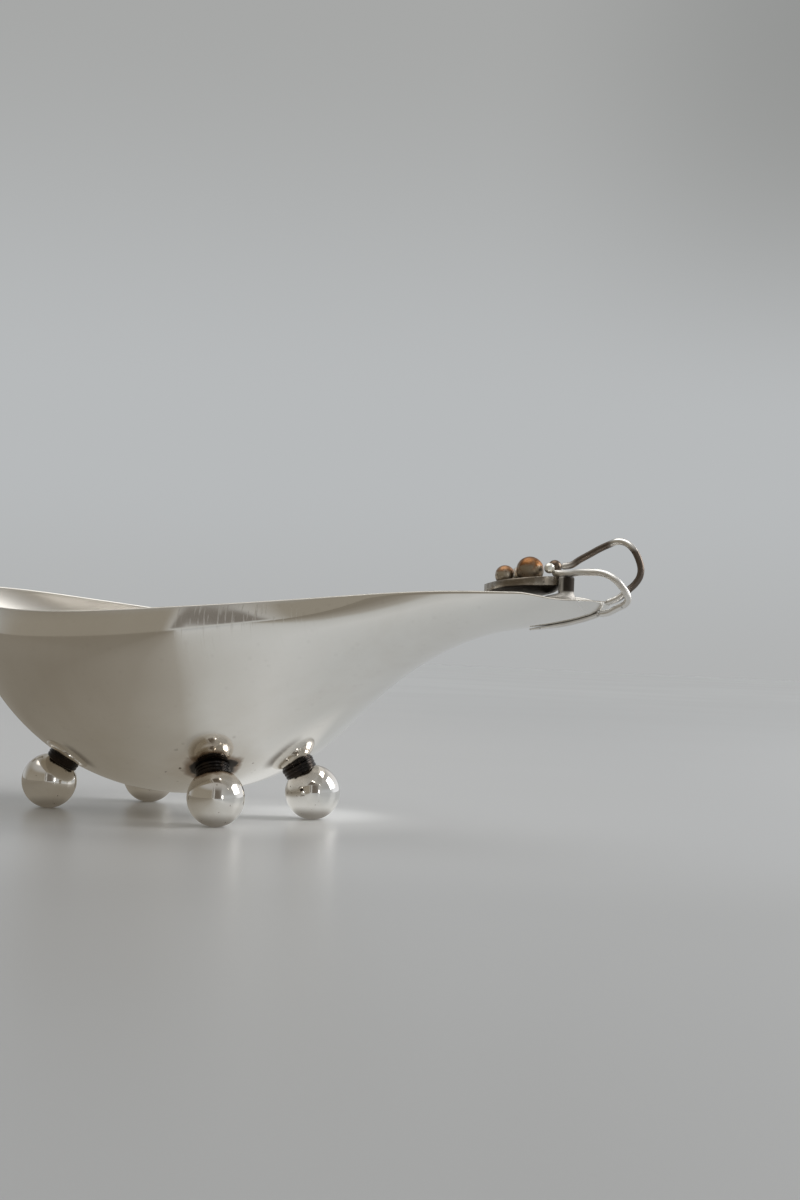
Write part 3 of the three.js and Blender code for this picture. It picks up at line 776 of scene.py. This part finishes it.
def bead_grid(radius):
    """A sphere, very slightly drawn in around its middle as cast beads are."""
    rise = np.linspace(-np.pi / 2, np.pi / 2, BEAD_RINGS)
    ring = radius * np.cos(rise) * (1 - BEAD_DRAWN_IN * np.cos(rise * 2) ** 2)
    ring[[0, -1]] = 0
    return turned(ring, radius * np.sin(rise), BEAD_SIDES)


def points_of(piece):
    """The piece's points, one in each row, in millimetres."""
    points = np.empty(len(piece.data.vertices) * 3, np.float32)
    piece.data.vertices.foreach_get("co", points)
    return points.reshape(-1, 3) * 1000


def mark_points(piece, label, values):
    """A number for each point of the piece, or one for all, which its material reads."""
    marks = piece.data.attributes.new(label, "FLOAT", "POINT").data
    marks.foreach_set("value", np.full(len(marks), values, np.float32))


def read_marks(tree, *labels):
    """The numbers that are kept under some labels."""
    return [add_node(tree, "ShaderNodeAttribute", attribute_name=label).outputs["Fac"] for label in labels]


gilt, tree, shader = new_metal("gilt_berry")
crown, gilding, tarnish = read_marks(tree, "crown", "gilding", "tarnish")
worn = mask(tree, bloom, Size=480.0, Cover=0.5)
dots = mask(tree, specks, Size=2200.0, Cover=0.2)
gold = times(tree, ease(tree, built_up(tree, crown, (worn, 0.6)), *GILT_FROM), gilding)
underneath = times(tree, ease(tree, crown, *UNDERNEATH_FROM), gilding)
tint = coated(tree, BARE_BEAD, (gilding, 1.0, ONCE_GILT_BEAD), (gold, 1.0, AMBER_GILDING),
              (underneath, 1.0, BEAD_UNDERNEATH), (tarnish, 0.85, DARK_BEAD), (dots, 0.6, BEAD_SPECK))
dress(tree, shader, tint, ease(tree, worn, 0, 1, *BEAD_GLOSS), raised(tree, worn, BEAD_PITTING))

beads = [(name, radius, berry_centre(radius, *place)) for name, radius, *place in LEAF_BERRIES]
beads += [(name, radius, np.array([post_at - back, sideways, leaf_edge + above]))
          for name, radius, back, sideways, above in TENDRIL_BERRIES]
for side, way in SIDES:
    for name, radius, centre in beads:
        bead = new_piece(f"bead_{name}_{side}", on_side(bead_grid(radius) + centre, way))
        mark_points(bead, "crown", (points_of(bead)[:, 2] - centre[2]) / radius)
        mark_points(bead, "gilding", GILDING[name])
        mark_points(bead, "tarnish", TARNISH[name])
        stand_for(bead, f"berry_{name}_{side}", gilt)


# The post of each handle: a short turned pin, soldered into the trough with a mound of solder, that
# carries the leaf's round end and the inner ends of both tendrils.  Its outer side is painted near
# black, as painted shade for the dark that it mirrors.
MOUND_RADIUS = 3.1
MOUND_FULL_TO = 48.9
MOUND_TOP = 49.9
MOUND_LEAN = 0.9  # how far it spreads towards the leaf
POST_EDGE = 0.3  # radius of its rounded top edge
POST_RINGS = 60
POST_EDGE_RINGS = 5
POST_SIDES = 48
BLACK_STARTS = -0.05  # outward from the post's middle, as a share of its radius
BLACK_FADES_OVER = 0.3
BLACK_CLIMBS_OVER = 0.4  # up from the mound's top
WIRE_BROWN = (0.4, 0.31, 0.22, 1)
HIGH_TENDRIL_SHADE = (0.1, 0.07, 0.05, 1)
SOLDER_GREY = (0.42, 0.4, 0.37, 1)
# Where the high tendril's side and its bright bend begin and are full, in metres
HIGH_SIDE_FROM = (0.0003, 0.0012)
BEND_ABOVE = (0.0578, 0.0592)
BEND_PAST = (0.104, 0.1058)
WIRE_GLOSS = (0.34, 0.12)  # elsewhere and on the bend
WIRE_SCRATCH = 0.0000006

wire_silver, tree, shader = new_metal("wire_silver")
haze = mask(tree, bloom, Size=150.0, Cover=0.5)
dots = mask(tree, specks, Size=1500.0, Cover=0.12)
lines = mask(tree, hairlines, Density=1.0)
apart = add_node(tree, "ShaderNodeSeparateXYZ", {
    "Vector": add_node(tree, "ShaderNodeTexCoord").outputs["Object"]})
x, y, z = apart.outputs[:3]
# Painted shade: the high tendril is darkened for the dark that it mirrors, all but its bend, where its
# highlight shows.
on_high = ease(tree, times(tree, y, maths(tree, "SIGN", x)), *HIGH_SIDE_FROM)
bend = times(tree, ease(tree, z, *BEND_ABOVE), ease(tree, maths(tree, "ABSOLUTE", x), *BEND_PAST))
dark = times(tree, on_high, maths(tree, "SUBTRACT", 1.0, bend))
shaded_side, soldered = read_marks(tree, "darkened", "soldered")
tint = coated(tree, SILVER, (haze, 0.3, WIRE_BROWN), (dark, 0.92, HIGH_TENDRIL_SHADE), (dots, 0.4, BLACK_TARNISH_AND_SHADE),
              (soldered, 0.8, SOLDER_GREY), (shaded_side, 0.97, BLACK_TARNISH_AND_SHADE))
rough = built_up(tree, ease(tree, bend, 0, 1, *WIRE_GLOSS), (haze, 0.1), (soldered, 0.25), (lines, 0.04))
dress(tree, shader, tint, rough, raised(tree, lines, WIRE_SCRATCH))


def post_grid():
    """A cylinder with a rounded top edge.  The mound at its foot is a half wave down from the mound's
    radius to the post's, and leans towards the leaf by a share of that spread."""
    foot = float(keel_height(np.array(post_at)) + WALL)
    shoulder = post_top - POST_EDGE
    height = np.concatenate([np.linspace(foot, shoulder, POST_RINGS), np.full(POST_EDGE_RINGS, shoulder)])
    sunk = half_wave((height - MOUND_FULL_TO) / (MOUND_TOP - MOUND_FULL_TO))
    spread = (MOUND_RADIUS - POST_RADIUS) * (1 - sunk)
    radius = POST_RADIUS + spread
    t = np.linspace(0, np.pi / 2, POST_EDGE_RINGS)
    height[-POST_EDGE_RINGS:] += POST_EDGE * np.sin(t)
    radius[-POST_EDGE_RINGS:] += POST_EDGE * (np.cos(t) - 1)
    radius = np.concatenate([[0], radius, [0]])
    height = np.concatenate([[foot], height, [post_top]])
    grid = turned(radius, height, POST_SIDES) + np.array([post_at, 0, 0])
    grid[..., 0] -= MOUND_LEAN * np.concatenate([spread[:1], spread, spread[-1:]])[:, None]
    return grid


for side, way in SIDES:
    post = new_piece(f"pin_{side}", on_side(post_grid(), way))
    points = points_of(post)
    # Painted shade: the post's outer side, above the mound, is marked to be painted near black.
    outward = (way * points[:, 0] - post_at) / POST_RADIUS
    climbed = half_wave((points[:, 2] - MOUND_TOP) / BLACK_CLIMBS_OVER)
    mark_points(post, "darkened", half_wave((outward - BLACK_STARTS) / BLACK_FADES_OVER) * climbed)
    mark_points(post, "soldered", 1.0)
    stand_for(post, f"post_{side}", wire_silver)


# The wires of each handle: a flattened, pointed stem soldered along the keel, which divides at its
# end into two tendrils of round wire.  They loop up and back over the handle to the post.
WIRE_RADIUS = 0.65
WIRE_SIDES = 32
STEM_RINGS = 120
LOW_LOOP_RINGS = 260
HIGH_LOOP_RINGS = 320
STEM_LENGTH = 15.6
STEM_THICKNESS = 0.8
STEM_WIDTH = 1.6
STEM_POINT = 0.12
STEM_TAPER = 0.4
STEM_SHORT_OF_TIP = 1.2
LOOP_PAST_TIP = 5.8
HIGH_LOOP_RISE = 10.6
LOW_LOOP_RISE = 4.5
LOOP_SPREAD = 2.5
# Points of the loops as shares of those sizes: past the tip, sideways and above the rim
LOW_LOOP = ((0.06, 0, -0.66), (0.456, -0.12, -0.444), (0.735, -0.24, -0.296), (0.888, -0.4, -0.11),
            (0.88, -0.6, 0.133), (0.736, -0.8, 0.436), (0.547, -0.96, 0.696), (0.255, -1, 0.898),
            (-0.043, -1, 0.987), (-0.426, -0.96, 1), (-0.852, -0.76, 1))
HIGH_LOOP = ((0.36, 0.36, -0.01), (0.657, 0.6, 0.14), (0.85, 0.76, 0.25), (0.976, 0.88, 0.375),
             (0.993, 0.96, 0.517), (0.866, 1, 0.712), (0.652, 1, 0.88), (0.384, 1, 0.977),
             (0.086, 1, 1), (-0.209, 1, 0.951), (-0.567, 0.96, 0.869), (-0.917, 0.88, 0.768),
             (-1.26, 0.76, 0.667))
TOUCH = 0.05  # the wires sink this far into what they are soldered to
ROOT_LAP = 0.3  # the tendrils start this far inside the stem's end and the handle's tip
TIP_SINK = 0.15  # the high one's root lies this far below the rim
LOW_END_LAP = 1.6  # the low one ends this far over the leaf
HIGH_OVER_POST = 1.75
HIGH_END_OVER_POST = 1.4
wire_on_post = post_top - TOUCH + WIRE_RADIUS
wire_on_leaf = leaf_edge - TOUCH + WIRE_RADIUS
stem_end = HANDLE_REACH - STEM_SHORT_OF_TIP
stem_below = STEM_THICKNESS / 2 - TOUCH


def smooth_path(points, count):
    """The centripetal Catmull-Rom curve through some points, at even steps along its length."""
    points = np.array(points, float)
    full = np.concatenate([[2 * points[0] - points[1]], points, [2 * points[-1] - points[-2]]])
    gap = np.sqrt(np.linalg.norm(np.diff(full, axis=0), axis=1))[:, None]
    leap = np.diff(full, axis=0) / gap
    wide = (full[2:] - full[:-2]) / (gap[1:] + gap[:-1])
    lead = (leap[:-1] - wide + leap[1:])[:-1] * gap[1:-1]
    trail = (leap[:-1] - wide + leap[1:])[1:] * gap[1:-1]
    t = np.linspace(0, 1, 40, endpoint=False)[None, :, None]
    start, end = full[1:-2, None], full[2:-1, None]
    bends = (start * (2 * t**3 - 3 * t**2 + 1) + lead[:, None] * (t**3 - 2 * t**2 + t)
             + end * (3 * t**2 - 2 * t**3) + trail[:, None] * (t**3 - t**2))
    dense = np.concatenate([bends.reshape(-1, 3), points[-1:]])
    run = np.concatenate([[0], np.cumsum(np.linalg.norm(np.diff(dense, axis=0), axis=1))])
    even = np.linspace(0, run[-1], count)
    return np.stack([np.interp(even, run, dense[:, k]) for k in range(3)], axis=1), run[-1]


def bar(points, width, thickness, steps, sides):
    """An ellipse carried along a path.  width is level and across it, thickness is square to both;
    each is a function of the share of the path.  Both ends are rounded off by a quarter circle."""
    line, length = smooth_path(points, steps)
    ahead_of = np.gradient(line, axis=0)
    ahead_of /= np.linalg.norm(ahead_of, axis=1)[:, None]
    square = np.cross(ahead_of, np.array([0, 1.0, 0]))
    square /= np.linalg.norm(square, axis=1)[:, None]
    level = np.cross(square, ahead_of)
    share = np.linspace(0, 1, steps)
    w, h = width(share), thickness(share)
    from_end = np.minimum(share, 1 - share) * length
    close = np.sqrt(1 - np.clip(1 - from_end / np.minimum(w, h), 0, 1) ** 2)[:, None, None]
    angle = (np.arange(sides) * 2 * np.pi / sides)[None, :, None]
    ring = (level[:, None] * w[:, None, None] * np.cos(angle)
            + square[:, None] * h[:, None, None] * np.sin(angle))
    return line[:, None] + ring * close


def stem_points():
    """Along the underside of the keel."""
    x = stem_end - STEM_LENGTH * (1 - np.linspace(0, 1, 9))
    return np.stack([x, 0 * x, keel_height(x) - stem_below], axis=1)


def loop_points(shares, rise):
    """The loop's places in millimetres."""
    sizes = np.array([LOOP_PAST_TIP, LOOP_SPREAD, rise])
    return (np.array(shares) * sizes + [HANDLE_REACH, 0, RIM_HANDLE_HEIGHT]).tolist()


def low_points():
    """From the stem's end past the tip, up, and back over the post to the leaf."""
    root = float(keel_height(np.array(stem_end))) - stem_below
    return [(stem_end - ROOT_LAP, 0, root), *loop_points(LOW_LOOP, LOW_LOOP_RISE),
            (post_at + POST_RADIUS, -0.4 * LOOP_SPREAD, wire_on_post),
            (post_at - 0.2 * POST_RADIUS, -0.16 * LOOP_SPREAD, wire_on_post),
            (leaf_end - LOW_END_LAP, 0, wire_on_leaf)]


def high_points():
    """From the tip of the handle, up behind the low tendril, and higher back to the end berry."""
    from_tip = float(rim_height(np.array(HANDLE_REACH))) - TIP_SINK
    return [(HANDLE_REACH - ROOT_LAP, 0.08 * LOOP_SPREAD, from_tip),
            *loop_points(HIGH_LOOP, HIGH_LOOP_RISE),
            (post_at + 0.1 * POST_RADIUS, 0.56 * LOOP_SPREAD, wire_on_post + HIGH_OVER_POST),
            (post_at - 1.25 * POST_RADIUS, 0.38 * LOOP_SPREAD, wire_on_post + HIGH_END_OVER_POST)]


def tapered(full):
    """Half a size that grows by the square root over the first part of the stem."""
    return lambda share: STEM_POINT + (full / 2 - STEM_POINT) * np.sqrt(np.minimum(share / STEM_TAPER, 1))


def wire(share):
    """The round wire's radius, the same all the way."""
    return np.full(share.shape, WIRE_RADIUS)


for side, way in SIDES:
    stem_grid = bar(stem_points(), tapered(STEM_WIDTH), tapered(STEM_THICKNESS), STEM_RINGS, WIRE_SIDES)
    stem = new_piece(f"keel_stem_{side}", on_side(stem_grid, way))
    stand_for(stem, f"stem_{side}", wire_silver)
    low_grid = bar(low_points(), wire, wire, LOW_LOOP_RINGS, WIRE_SIDES)
    low_loop = new_piece(f"low_loop_{side}", on_side(low_grid, way))
    stand_for(low_loop, f"tendril_low_{side}", wire_silver)
    high_grid = bar(high_points(), wire, wire, HIGH_LOOP_RINGS, WIRE_SIDES)
    high_loop = new_piece(f"high_loop_{side}", on_side(high_grid, way))
    stand_for(high_loop, f"tendril_high_{side}", wire_silver)


# The table: the dish stands on a plain pale top with a slight gloss.  What the metal mirrors of it
# glows by itself, so the bowl's shadow stays out of it: warm and shaded on the left, pale on the
# right, and dark round each foot, which is a painted contact shadow.
TABLE_SIZE = 8.0
TABLE_LEFT = (0.535, 0.53, 0.52, 1)
TABLE_RIGHT = (0.475, 0.478, 0.478, 1)
TABLE_FAR = (0.69, 0.695, 0.69, 1)
TABLE_NEAR = (0.43, 0.43, 0.425, 1)
TABLE_CLOUD = (0.5, 0.5, 0.495, 1)
# Painted light: the paint is lighter under the bowl, and lighter still in a patch on its right,
PAINTED_LIGHT_UNDER_BOWL = (0.76, 0.755, 0.74, 1)
# where the bowl throws the window's light down.
THROWN_LIGHT = (0.96, 0.96, 0.95, 1)
THROWN_LIGHT_IN_METAL = (0.72, 0.72, 0.7, 1)
CONTACT_SHADOW_IN_METAL = (0.1, 0.085, 0.065, 1)
# The table's colours in the metal, by the way to the right in metres
TABLE_IN_METAL = (
    (-0.06, (0.195, 0.17, 0.13, 1)), (-0.016, (0.245, 0.22, 0.178, 1)), (0.004, (0.33, 0.31, 0.27, 1)),
    (0.014, (0.5, 0.5, 0.48, 1)), (0.026, (0.585, 0.59, 0.58, 1)), (0.04, (0.5, 0.51, 0.505, 1)),
    (0.06, (0.45, 0.46, 0.46, 1)))
# Where each begins and is full, in metres to the right, to the front, or from a place
RIGHT_FROM = (0.0, 0.16)
FAR_FROM = (-0.3, -1.8)
NEAR_FROM = (0.05, 0.14)
CLOUD_FROM = (0.35, 0.65)
UNDER_BOWL_FROM = (0.06, 0.025)
THROWN_FROM = (0.026, 0.008)
CONTACT_SHADOW_FROM = (0.0075, 0.003)
DRIFT_PAST = 0.06  # from here to the front the colours in the metal drift to the left
DRIFT = 0.1
TABLE_GLOSS = (0.29, 0.31)
SELF_GLOW = 0.85
# Painted light, in the paint and in the metal, is centred here.
throws_at = level_right * 0.024 + level_ahead * 0.01  # the bowl throws the window's light here

table_mesh = bpy.data.meshes.new("table")
half = TABLE_SIZE / 2
table_mesh.from_pydata([(-half, -half, 0), (half, -half, 0), (half, half, 0), (-half, half, 0)], [],
                       [(0, 1, 2, 3)])
table = bpy.data.objects.new("table", table_mesh)
scene.collection.objects.link(table)
top = bpy.data.materials.new("table_top")
top.use_nodes = True
tree = top.node_tree
tree.nodes.clear()
spot = add_node(tree, "ShaderNodeTexCoord").outputs["Object"]
to_right = along(tree, spot, level_right)
to_front = along(tree, spot, -level_ahead)
cloud = add_node(tree, "ShaderNodeTexNoise", {"Vector": spot, "Scale": 5.0, "Detail": 2.0}).outputs["Fac"]
thrown = ease(tree, distance(tree, spot, throws_at), *THROWN_FROM)
paint = coated(tree, TABLE_LEFT, (ease(tree, to_right, *RIGHT_FROM), 1.0, TABLE_RIGHT),
               (ease(tree, to_front, *FAR_FROM), 1.0, TABLE_FAR),
               (ease(tree, to_front, *NEAR_FROM), 1.0, TABLE_NEAR),
               (ease(tree, cloud, *CLOUD_FROM), 0.15, TABLE_CLOUD),
               (ease(tree, distance(tree, spot, (0, 0, 0)), *UNDER_BOWL_FROM), 1.0, PAINTED_LIGHT_UNDER_BOWL),
               (thrown, 1.0, THROWN_LIGHT))
gloss = ease(tree, cloud, 0.3, 0.7, *TABLE_GLOSS)
painted = add_node(tree, "ShaderNodeBsdfPrincipled", {"Base Color": paint, "Roughness": gloss})

past = maths(tree, "MAXIMUM", maths(tree, "SUBTRACT", to_front, DRIFT_PAST), 0.0)
first_at, last_at = TABLE_IN_METAL[0][0], TABLE_IN_METAL[-1][0]
along_ramp = add_node(tree, "ShaderNodeMapRange", {
    "Value": built_up(tree, to_right, (past, DRIFT)), "From Min": first_at, "From Max": last_at})
ramp = add_node(tree, "ShaderNodeValToRGB", {"Fac": along_ramp.outputs["Result"]})
stops = ramp.color_ramp.elements
for number, (at, colour) in enumerate(TABLE_IN_METAL):
    share = (at - first_at) / (last_at - first_at)
    stop = stops[number] if number < 2 else stops.new(share)
    stop.position = share
    stop.color = colour
folded = add_node(tree, "ShaderNodeVectorMath", {0: spot}, operation="ABSOLUTE").outputs[0]
# Painted shadow: the table in the metal goes dark round the place where each foot stands.
contact_shadow = ease(tree, distance(tree, folded, (foot_x * 0.001, foot_y * 0.001, 0)), *CONTACT_SHADOW_FROM)
mirrored = coated(tree, ramp.outputs["Color"], (thrown, 1.0, THROWN_LIGHT_IN_METAL),
                  (contact_shadow, 0.8, CONTACT_SHADOW_IN_METAL))
glow = add_node(tree, "ShaderNodeEmission", {"Color": mirrored})
share = times(tree, add_node(tree, "ShaderNodeLightPath").outputs["Is Glossy Ray"], SELF_GLOW)
surface = add_node(tree, "ShaderNodeMixShader", {0: share, 1: painted.outputs[0], 2: glow.outputs[0]})
add_node(tree, "ShaderNodeOutputMaterial", {"Surface": surface.outputs[0]})
table_mesh.materials.append(top)
